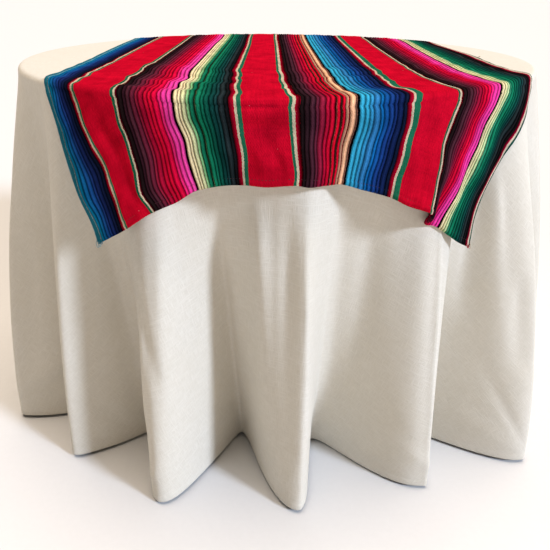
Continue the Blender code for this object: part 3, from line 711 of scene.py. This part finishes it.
def serape_points(across, along):
    """Under face of the serape: inside the rim it lies flat, past it the radius follows a quarter
    turn, and then it hangs, swinging by share to the power 0.8 and standing off by share to the
    power 1.2 of what its end's rows say. Where it would come nearer to the cloth than its clearance,
    the smooth larger of both radii holds it off: their mean plus half the root of their squared
    difference plus the squared ease. Kinks, wrinkles and ridges are added to that."""
    front = along >= 0
    swing, stand_off, reach = [np.where(front, row_value(across, FRONT_END, column),
                                        row_value(across, BACK_END, column)) for column in (1, 2, 3)]
    own_place = across
    across = drifted_across(across, along, reach)
    across = across + np.where(front, kink_aside(own_place, BEND_START - np.hypot(across, along)), 0.0)
    flat_radius = np.hypot(across, along)
    angle = np.degrees(np.arctan2(across, np.abs(along)))
    past = flat_radius - BEND_START
    arc = SERAPE_BEND * math.pi / 2
    length = np.hypot(across, reach) - BEND_START - arc
    hung = np.clip(past - arc, 0.0, None)
    share = np.clip(hung / length, 0.0, 1.0)
    turn = np.clip(past, 0.0, arc) / SERAPE_BEND
    under = CLOTH_TOP + SERAPE_GAP
    height = under - SERAPE_BEND * (1 - np.cos(turn)) - hung * np.sqrt(1 - (stand_off / length) ** 2)
    angle = angle + swing * share**0.8
    radius = np.minimum(flat_radius, BEND_START) + SERAPE_BEND * np.sin(turn) + stand_off * share**1.2
    cloth_angle = np.where(front, angle, 180.0 - angle)
    nearest = cloth_radius(cloth_angle, height) + SERAPE_GAP + HANG_CLEARANCE * share**0.2
    ease = CLEARANCE_EASE * np.clip(share / EASE_SHARE, 0.0, 1.0)
    pushed = (radius + nearest + np.sqrt((radius - nearest) ** 2 + ease**2)) / 2
    radius = np.where(hung > 0, pushed + wrinkle_height(own_place, share, front), radius)
    behind = np.maximum(-past, 0.0)
    fade = np.where(past < 0, 1.0, np.exp(-((past / 0.010) ** 2)))
    height = height + np.where(front, ridge_height(across, behind) * fade, 0.0)
    x = radius * np.sin(np.radians(angle))
    y = radius * np.cos(np.radians(angle)) * np.where(front, -1.0, 1.0)
    return np.stack([x, y, height], axis=-1)


def serape_directions(across, along):
    """Unit vectors towards the front along the cloth and out of its upper face, from the points a
    short step away on either side and their cross product."""
    step = 0.0008
    to_side = serape_points(across + step, along) - serape_points(across - step, along)
    to_front = serape_points(across, along + step) - serape_points(across, along - step)
    out = np.cross(to_front, to_side)
    return (to_front / np.linalg.norm(to_front, axis=-1, keepdims=True),
            out / np.linalg.norm(out, axis=-1, keepdims=True))


def cord_edges(left, right, count):
    """Edges of a band's cords: even steps, the inner ones moved by a sine of up to a sixth of a step."""
    step = np.arange(count + 1)
    uneven = 0.16 * np.sin(step * 2.4 + left) * (step > 0) * (step < count)
    return left + (right - left) * (step + uneven) / count


# Places of the columns of points: six to each cord, and on a flat band its edges and every 4 mm or so.
# A column that would come within 0.35 mm of the one before it is left out.
FLAT_STEP_MM = 4.0
LEAST_STEP_MM = 0.35
stops = [(edge, colour) for left, right, _, colours in BANDS
         for edge, colour in zip(cord_edges(left, right, len(colours)), colours)]
edges = [cord_edges(left, right, len(colours)) for left, right, corded, colours in BANDS if corded]
cord_left = np.concatenate([edge[:-1] for edge in edges])
cord_right = np.concatenate([edge[1:] for edge in edges])
cord_shares = np.array([0.0, 0.09, 0.28, 0.5, 0.72, 0.91])
cord_columns = cord_left[:, None] + (cord_right - cord_left)[:, None] * cord_shares
flat_columns = np.concatenate([np.linspace(left, right, max(2, int((right - left) / FLAT_STEP_MM) + 1))
                               for left, right, corded, _ in BANDS if not corded])
columns_mm = np.unique(np.round(np.concatenate([cord_columns.ravel(), flat_columns, [WIDTH_MM]]), 3))
columns_mm = columns_mm[np.concatenate([[True], np.diff(columns_mm) > LEAST_STEP_MM])]
columns_mm[-1] = WIDTH_MM


def rib_level(mm):
    """Height of the face between a groove, 0, and a crest, 1: on a cord an arch, 1 less the square of
    the place across it, to the power 0.6, and level on a flat band."""
    i = np.clip(np.searchsorted(cord_left, mm, side="right") - 1, 0, len(cord_left) - 1)
    f = (mm - cord_left[i]) / (cord_right[i] - cord_left[i])
    arch = np.clip(1 - (2 * np.clip(f, 0, 1) - 1) ** 2, 0.0, 1.0) ** 0.6
    return np.where((f >= 0) & (f <= 1), arch, FLAT_LEVEL)


def end_lines(across, rows, front, bend_steps, shares):
    """Distances out from the table's middle, from the rim's bend to the hem, for each column: round
    the bend by even steps, then at the given shares of the rest."""
    reach = row_value(across, rows, 3)
    lines = [rim_line(across, SERAPE_BEND * math.pi / 2 * bend, front) for bend in bend_steps]
    start = lines[-1]
    return lines + [start + (reach - start) * share for share in shares]


column_across = SERAPE_LEFT + columns_mm / 1000.0
rim, far_rim = rim_line(column_across, 0.0, True), rim_line(column_across, 0.0, False)
hem_shares = np.array([0.905, 0.930, 0.945, 0.957, 0.975, 0.990, 1.0])
front_lines = end_lines(column_across, FRONT_END, True, np.linspace(0, 1, 8),
                        np.concatenate([np.linspace(0.04, 0.88, 22), hem_shares]))
back_lines = end_lines(column_across, BACK_END, False, np.linspace(0, 1, 6),
                       np.concatenate([np.linspace(0.08, 0.88, 10), hem_shares]))
behind_rim = (0.30, 0.26, 0.22, 0.19, 0.165, 0.15, 0.135, 0.12, 0.108, 0.098, 0.09, 0.083, 0.076,
              0.068, 0.06, 0.053, 0.046, 0.038, 0.031, 0.025, 0.019, 0.013, 0.007)
along = np.stack([-line for line in reversed(back_lines)]
                 + [far_rim * share for share in (-0.97, -0.9, -0.7, -0.4)]
                 + [rim - back for back in behind_rim] + front_lines)
across = np.broadcast_to(column_across, along.shape)
to_hem = np.where(along > 0, row_value(across, FRONT_END, 3) - along,
                  row_value(across, BACK_END, 3) + along)
to_selvedge = np.minimum(columns_mm, WIDTH_MM - columns_mm)
drift = wander(across, along)
_, outwards = serape_directions(across + drift, along)

# The upper face over the under face: the cords' arches, thin at the selvedge and at the very end, with
# a roll over the turned hem and a furrow along its stitches, and a slow unevenness of 0.7 mm all over.
STITCH_ROW = 0.0085
SELVEDGE_THINNING = 0.0012
END_THINNING = 0.0010
HEM_ROLL = 0.0007
STITCH_FURROW = 0.0007
UNEVENNESS = 0.0007
relief = SERAPE_THICKNESS - 0.0002 - CORD_HEIGHT * (1 - rib_level(columns_mm))
relief = relief - SELVEDGE_THINNING * np.exp(-to_selvedge / 0.9)
relief = relief + HEM_ROLL * np.exp(-((to_hem - 0.004) / 0.004) ** 2)
relief = relief - STITCH_FURROW * np.exp(-((to_hem - STITCH_ROW) / 0.0011) ** 2)
relief = relief - END_THINNING * np.exp(-to_hem / 0.0012)
swells = np.sin(along * 95.0 + 3.0 * np.sin(across * 40.0)) * np.sin(across * 70.0 + 1.0)
relief = relief + UNEVENNESS * swells
points = serape_points(across + drift, along) + outwards * relief[..., None]
quads = grid_faces(*along.shape)

# The yarn is carded wool and cotton, dyed in flat deep colours and quite dull. Each thread end shows
# as a small float 3 mm long, so a line's edge is a little ragged. The grooves between the cords are
# painted dark, partly for the dark yarn there and partly as painted shade, and their crests carry a
# painted highlight.
THREAD_PITCH = 0.0017
FLOAT_LENGTH = 0.0030
RAGGED_STEP = 0.0021
wool, tree, shader = new_finish("striped serape wool", 0.92)
shader.inputs["Specular IOR Level"].default_value = 0.0
lay = add(tree, "UVMap", uv_map="threads")
place = add(tree, "SeparateXYZ", {"Vector": lay.outputs[0]})
pick = add(tree, "Math", {0: place.outputs["Y"], 1: RAGGED_STEP}, operation="DIVIDE")
pick_row = add(tree, "Math", {0: pick.outputs[0]}, operation="FLOOR")
ragged = add(tree, "TexWhiteNoise", {"W": pick_row.outputs[0]}, noise_dimensions="1D")
sway = add(tree, "TexNoise", {"Vector": lay.outputs[0], "Scale": 34.0, "Detail": 2.0})
ragged_mm = add(tree, "MapRange", {"Value": ragged.outputs["Value"], 3: -0.35, 4: 0.35})
sway_mm = add(tree, "MapRange", {"Value": sway.outputs["Fac"], 1: 0.25, 2: 0.75, 3: -0.55, 4: 0.55})
shift = add(tree, "Math", {0: ragged_mm.outputs[0], 1: sway_mm.outputs[0]}, operation="ADD")
across_mm = add(tree, "Math", {0: place.outputs["X"], 1: 1000.0, 2: shift.outputs[0]},
                operation="MULTIPLY_ADD")
STOPS_IN_A_RAMP = 30
colour = None
for start in range(0, len(stops), STOPS_IN_A_RAMP):
    in_ramp = stops[start:start + STOPS_IN_A_RAMP]
    low = in_ramp[0][0]
    high = (stops + [(WIDTH_MM, None)])[start + len(in_ramp)][0]
    within = add(tree, "MapRange", {"Value": across_mm.outputs[0], 1: low, 2: high})
    ramp = add(tree, "ValToRGB", {"Fac": within.outputs[0]})
    ramp.color_ramp.interpolation = "CONSTANT"
    ramp.color_ramp.elements.remove(ramp.color_ramp.elements[1])
    for k, (at, code) in enumerate(in_ramp):
        spot = (at - low) / (high - low)
        element = ramp.color_ramp.elements[0] if k == 0 else ramp.color_ramp.elements.new(spot)
        element.position = spot
        element.color = tone(code)
    if colour is None:
        colour = ramp.outputs["Color"]
    else:
        beyond = add(tree, "Math", {0: across_mm.outputs[0], 1: low}, operation="GREATER_THAN")
        chosen = add(tree, "Mix", {"Factor": beyond.outputs[0], 6: colour, 7: ramp.outputs["Color"]},
                     data_type="RGBA")
        colour = chosen.outputs[2]
# The height between groove and crest, read for the painted shade in the grooves and the painted highlight
# on the crests.
rib_height_for_painted_light = add(tree, "Attribute", attribute_name="rib_height_for_painted_light")
# Noise in the cloth's own places: fibres of the nap, strands along, bars of weft across and mottling.
noises = []
for stretch, detail, roughness in (((620.0, 150.0, 1.0), 3.0, 0.6), ((330.0, 7.0, 1.0), 2.0, 0.5),
                                   ((14.0, 300.0, 1.0), 2.0, 0.5), ((26.0, 26.0, 26.0), 4.0, 0.5)):
    laid = add(tree, "Mapping", {"Vector": lay.outputs[0], "Scale": stretch})
    noises.append(add(tree, "TexNoise", {"Vector": laid.outputs[0], "Scale": 1.0, "Detail": detail,
                                         "Roughness": roughness}))
nap, strand, weft, mottle = noises
# Each row turns one of them into a share of the dye's colour, and the last two turn the height
# between groove and crest into painted shade in the grooves and a painted highlight on the crests.
shares_of_tone_and_painted_light = [
    add(tree, "MapRange", {"Value": source.outputs["Fac"], 1: low, 2: high, 3: darkest, 4: lightest})
    for source, low, high, darkest, lightest in (
        (nap, 0.25, 0.75, 0.80, 1.16), (strand, 0.3, 0.7, 0.90, 1.10), (weft, 0.3, 0.7, 0.93, 1.05),
        # The last two rows paint shade into the grooves and a highlight onto the crests.
        (mottle, 0.3, 0.7, 0.78, 1.18), (rib_height_for_painted_light, 0.0, 0.84, 0.05, 0.94), (rib_height_for_painted_light, 0.84, 1.0, 1.0, 1.6))]
light = shares_of_tone_and_painted_light[0]
for factor in shares_of_tone_and_painted_light[1:]:
    light = add(tree, "Math", {0: light.outputs[0], 1: factor.outputs[0]}, operation="MULTIPLY")
shaded = add(tree, "VectorMath", {0: colour, "Scale": light.outputs[0]}, operation="SCALE")
lint_seed = add(tree, "TexVoronoi", {"Vector": lay.outputs[0], "Scale": 34.0}, feature="F1")
lint = add(tree, "MapRange", {"Value": lint_seed.outputs["Distance"], 1: 0.022, 2: 0.014,
                              3: 0.0, 4: 0.55})
specked = add(tree, "Mix", {"Factor": lint.outputs[0], 6: shaded.outputs[0], 7: tone("#e8d8cc")},
              data_type="RGBA")
# Threads across and floats along, as the product of two sines.
threads_x = add(tree, "Math", {0: place.outputs["X"], 1: math.pi / THREAD_PITCH}, operation="MULTIPLY")
floats_y = add(tree, "Math", {0: place.outputs["Y"], 1: math.pi / FLOAT_LENGTH}, operation="MULTIPLY")
thread, floats = [add(tree, "Math", {0: turns.outputs[0]}, operation="SINE")
                  for turns in (threads_x, floats_y)]
check = add(tree, "Math", {0: thread.outputs[0], 1: floats.outputs[0]}, operation="MULTIPLY")
napped = add(tree, "Math", {0: check.outputs[0], 1: 0.35, 2: nap.outputs["Fac"]},
             operation="MULTIPLY_ADD")
grain = add(tree, "Math", {0: weft.outputs["Fac"], 1: 0.8, 2: napped.outputs[0]},
            operation="MULTIPLY_ADD")
bump = add(tree, "Bump", {"Height": grain.outputs[0], "Strength": 0.6, "Distance": 0.0007})
tree.links.new(specked.outputs[2], shader.inputs["Base Color"])
tree.links.new(bump.outputs[0], shader.inputs["Normal"])


def mark_ribs_for_painted_light(piece, level):
    """Keeps each point's height between groove and crest with the mesh, for the painted shade in the
    grooves and the painted highlight on the crests.
    """
    values = np.asarray(level, np.float32).ravel()
    piece.data.attributes.new("rib_height_for_painted_light", "FLOAT", "POINT").data.foreach_set("value", values)


# The map's places along the cloth start this far behind the table's middle, so none is below zero.
MAP_START = 0.7
panel = new_piece("serape_panel_woven", points, quads, wool)
flat_place = np.stack([np.broadcast_to(columns_mm / 1000.0, along.shape), along + MAP_START], axis=-1)
lay_threads(panel, flat_place.reshape(-1, 2))
mark_ribs_for_painted_light(panel, np.broadcast_to(rib_level(columns_mm), along.shape))
give_wall(panel, SERAPE_WALL)
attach(panel, "root")
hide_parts("serape_panel")

# The turned hems
# At each end the panel is folded under for 8 mm, so the fold makes a soft round edge, and a row of
# short stitches in dark thread holds it. The hem is the same cloth, so its stripes run on.
HEM_PROFILE = (
    # down past the end, out from the under face, in millimetres
    (-8.0, -0.5), (-8.2, -1.2), (-7.8, -1.9), (-5.0, -2.2), (-2.0, -2.2), (0.2, -1.9), (1.2, -1.0),
    (1.5, 0.2), (1.2, 1.3), (0.3, 1.9), (-0.8, 1.9), (-1.0, 0.4), (-1.0, -0.4), (-4.0, -0.4),
)
STITCH_MARGIN = 0.005
STITCH_PITCH = 0.0052
STITCH_LENGTH = 0.0030
STITCH_RADIUS = 0.00034
STITCH_RINGS = 5
TUBE_SIDES = 6

thread_dye, tree, shader = new_finish("dark sewing thread", 0.7)
place = add(tree, "TexCoord")
twist = add(tree, "TexNoise", {"Vector": place.outputs["Object"], "Scale": 900.0, "Detail": 1.0})
dye = add(tree, "Mix", {"Factor": twist.outputs["Fac"], 6: tone("#240c10"), 7: tone("#4a141a")},
          data_type="RGBA")
tree.links.new(dye.outputs[2], shader.inputs["Base Color"])


def capped_tubes(count, rings):
    """Faces of a row of six-sided tubes, each a grid of rings with two quads over either end."""
    last = TUBE_SIDES * (rings - 1)
    one = np.concatenate([grid_faces(rings, TUBE_SIDES, closed=True)[:, [0, 3, 2, 1]],
                          [[0, 3, 2, 1], [0, 5, 4, 3], [last, last + 1, last + 2, last + 3],
                           [last, last + 3, last + 4, last + 5]]])
    return (one[None] + (np.arange(count) * rings * TUBE_SIDES)[:, None, None]).reshape(-1, 4)


for end_name, end_rows, side in (("front_hem", FRONT_END, 1.0), ("back_hem", BACK_END, -1.0)):
    reach = row_value(column_across, end_rows, 3)
    drifted = column_across + wander(column_across, side * reach)
    profile = np.array(HEM_PROFILE) / 1000.0
    up = np.minimum(profile[:, 0], 0.0)[None, :]
    beyond = np.maximum(profile[:, 0], 0.0)[None, :]
    at_along = side * (reach[:, None] + up)
    at_across = np.broadcast_to(drifted[:, None], at_along.shape)
    forward, outward = serape_directions(at_across, at_along)
    ring_points = (serape_points(at_across, at_along) + outward * profile[None, :, 1, None]
                   + forward * side * beyond[..., None])
    faces = grid_faces(*at_along.shape, closed=True)
    if side < 0:
        faces = faces[:, ::-1]
    hem = new_piece(end_name + "_turned", ring_points, faces, wool)
    flat_place = np.stack([np.broadcast_to(columns_mm[:, None] / 1000.0, at_along.shape),
                           at_along + side * beyond + MAP_START], axis=-1)
    lay_threads(hem, flat_place.reshape(-1, 2))
    mark_ribs_for_painted_light(hem, np.broadcast_to(rib_level(columns_mm)[:, None], at_along.shape))
    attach(hem, "root")
    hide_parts(end_name)

    count = int((SERAPE_RIGHT - SERAPE_LEFT - 2 * STITCH_MARGIN) / STITCH_PITCH)
    centre = SERAPE_LEFT + STITCH_MARGIN + (np.arange(count) + 0.5) * STITCH_PITCH
    steps = np.linspace(-0.5, 0.5, STITCH_RINGS)
    stitch_across = centre[:, None] + steps[None, :] * STITCH_LENGTH
    stitch_along = side * (row_value(stitch_across, end_rows, 3) - STITCH_ROW)
    forward, outward = serape_directions(stitch_across, stitch_along)
    rise = SERAPE_THICKNESS - 0.0012 + 0.0004 * (1 - (2 * steps) ** 2)
    spine = serape_points(stitch_across, stitch_along) + outward * rise[None, :, None]
    around = np.arange(TUBE_SIDES) * 2 * np.pi / TUBE_SIDES
    girth = STITCH_RADIUS * np.sqrt(np.clip(1.04 - (2 * steps) ** 2, 0.04, 1.0))
    rings = (spine[:, :, None, :] + girth[None, :, None, None]
             * (np.cos(around)[None, None, :, None] * forward[:, :, None, :]
                + np.sin(around)[None, None, :, None] * outward[:, :, None, :]))
    stitches = new_piece(end_name + "_stitches", rings, capped_tubes(count, STITCH_RINGS), thread_dye)
    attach(stitches, "root")

# The loose yarn
# Where the weft turns at the selvedge, and at the corners of the hems, a few loops and tufts of the
# same two-ply wool stand out. They are held by the cloth that they are woven into.
YARN_RADIUS = 0.00055
YARNS = (
    # dye_mm, then across, along and lift of five points, in millimetres from the selvedge and the hem,
    # then 1 for the left selvedge or -1 for the right one, and 1 for the front end or -1 for the back
    (1.0, ((1, -6, 1.6), (-2, -2, 2.4), (-3, 3, 2.8), (-1, 6, 2.6), (2, 1, 1.4)), (1, 1)),
    (12.6, ((4, -5, 1.8), (3, 2, 2.6), (4, 6, 2.8), (7, 5, 2.6), (7, -1, 1.4)), (1, 1)),
    (6.0, ((10, -4, 2.2), (9, 1, 2.8), (11, 4, 3.0), (13, 3, 2.8), (13, -3, 1.8)), (1, 1)),
    (818.0, ((1, -6, 1.8), (-2, -2, 2.6), (-3, 1, 2.8), (-1, 3, 2.6), (2, 0, 1.6)), (-1, 1)),
    (813.0, ((5, -5, 1.8), (4, 1, 2.6), (6, 3, 2.8), (8, 2, 2.6), (8, -3, 1.6)), (-1, 1)),
    (1.0, ((1, -6, 1.6), (-2, -2, 2.4), (-3, 2, 2.8), (-1, 5, 2.4), (3, 0, 1.4)), (1, -1)),
    (818.0, ((2, -6, 1.6), (-2, -2, 2.4), (-2, 3, 2.8), (0, 5, 2.4), (4, 0, 1.4)), (-1, -1)),
    (816.0, ((1, -612, 1.8), (-1, -610, 2.6), (-3, -613, 3.0), (-2, -616, 2.6), (1, -615, 1.6)), (-1, 1)),
)
YARN_RINGS = 25
knots = np.array([points for _, points, _ in YARNS], float) / 1000.0
sides = np.array([ends for _, _, ends in YARNS], float)
across_edge = np.where(sides[:, :1] > 0, SERAPE_LEFT, SERAPE_RIGHT)
yarn_knots_across = across_edge + sides[:, :1] * knots[..., 0]
yarn_reach = np.where(sides[:, 1:] > 0, row_value(yarn_knots_across, FRONT_END, 3),
                      row_value(yarn_knots_across, BACK_END, 3))
yarn_knots_along = sides[:, 1:] * (yarn_reach + knots[..., 1])
steps = np.linspace(0, knots.shape[1] - 1, YARN_RINGS)
yarn_across, yarn_along, yarn_lift = [
    np.stack([smooth_through(steps, range(knots.shape[1]), row) for row in values])
    for values in (yarn_knots_across, yarn_knots_along, knots[..., 2])]
_, outward = serape_directions(yarn_across, yarn_along)
spine = serape_points(yarn_across, yarn_along) + outward * yarn_lift[..., None]
forward = np.gradient(spine, axis=1)
forward = forward / np.linalg.norm(forward, axis=-1, keepdims=True)
beside = np.cross(forward, outward)
beside = beside / np.linalg.norm(beside, axis=-1, keepdims=True)
above = np.cross(beside, forward)
around = np.arange(TUBE_SIDES) * 2 * np.pi / TUBE_SIDES
rings = spine[:, :, None, :] + YARN_RADIUS * (np.cos(around)[:, None] * beside[:, :, None, :]
                                              + np.sin(around)[:, None] * above[:, :, None, :])
yarns = new_piece("loose_yarn", rings, capped_tubes(len(YARNS), YARN_RINGS), wool)
dyes = np.array([dye for dye, _, _ in YARNS]) / 1000.0
yarn_places = np.stack(np.broadcast_arrays(dyes[:, None, None], yarn_along[:, :, None] + MAP_START,
                                           np.zeros(TUBE_SIDES)), axis=-1)[..., :2]
lay_threads(yarns, yarn_places.reshape(-1, 2))
YARN_LEVEL = 0.8
mark_ribs_for_painted_light(yarns, np.full(len(YARNS) * YARN_RINGS * TUBE_SIDES, YARN_LEVEL))
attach(yarns, "root")

# The light
# A warm soft box hangs over the table and a cool window stands at the front right, 28 degrees up. A
# weak warm light comes back off the left wall. The room is pale low down and dark above.
world = bpy.data.worlds.new("pale studio")
bpy.context.scene.world = world
world.use_nodes = True
tree = world.node_tree
room = add(tree, "TexCoord")
upward = add(tree, "SeparateXYZ", {"Vector": room.outputs["Generated"]})
height = add(tree, "MapRange", {"Value": upward.outputs["Z"], 1: 0.10, 2: 0.55, 3: 0.42, 4: 0.04})
tree.nodes["Background"].inputs["Color"].default_value = tone("#fff8ee")
tree.links.new(height.outputs[0], tree.nodes["Background"].inputs["Strength"])
LIGHTS = (
    # name, degrees right of the front, degrees up, strength, width in degrees, colour
    ("overhead box", 165.0, 85.0, 3.6, 46.0, "#ffefdd"),
    ("right window", 58.0, 28.0, 3.5, 9.0, "#dae8ff"),
    ("left wall", -115.0, 20.0, 0.12, 50.0, "#ffe9cf"),
)


def towards(aside, up):
    """Unit vector to a light from two angles: degrees right of the front and degrees up."""
    turn, rise = math.radians(aside), math.radians(up)
    return Vector((math.sin(turn) * math.cos(rise), -math.cos(turn) * math.cos(rise), math.sin(rise)))


for name, aside, up, strength, width, code in LIGHTS:
    data = bpy.data.lights.new(name, "SUN")
    data.energy = strength
    data.angle = math.radians(width)
    data.color = tone(code)[:3]
    lamp = bpy.data.objects.new(name, data)
    lamp.rotation_euler = towards(aside, up).to_track_quat("Z", "Y").to_euler()
    bpy.context.scene.collection.objects.link(lamp)

# The camera
# It stands 1.33 m in front of the table's middle, 0.90 m up, and looks down by 27.5 degrees with a
# lens of 36.9 mm on a 36 mm frame.
LENS_PIXELS = 564.36
SHIFT_PIXELS = -0.56
FRAME_PIXELS = 550
FRAME_MM = 36.0
CAMERA_PLACE = (0.0, -1.33004, 0.90366)
LOOK_DOWN = 0.48018
ROLL = 0.00868
view = bpy.data.cameras.new("camera")
view.sensor_width = FRAME_MM
view.lens = FRAME_MM * LENS_PIXELS / FRAME_PIXELS
view.shift_x = SHIFT_PIXELS / FRAME_PIXELS
view.clip_start = 0.05
camera = bpy.data.objects.new("camera", view)
camera.location = CAMERA_PLACE
tilt = Matrix.Rotation(math.pi / 2 - LOOK_DOWN, 3, "X") @ Matrix.Rotation(ROLL, 3, "Z")
camera.rotation_euler = tilt.to_euler()
bpy.context.scene.collection.objects.link(camera)
bpy.context.scene.camera = camera
bpy.context.scene.view_settings.view_transform = "Standard"
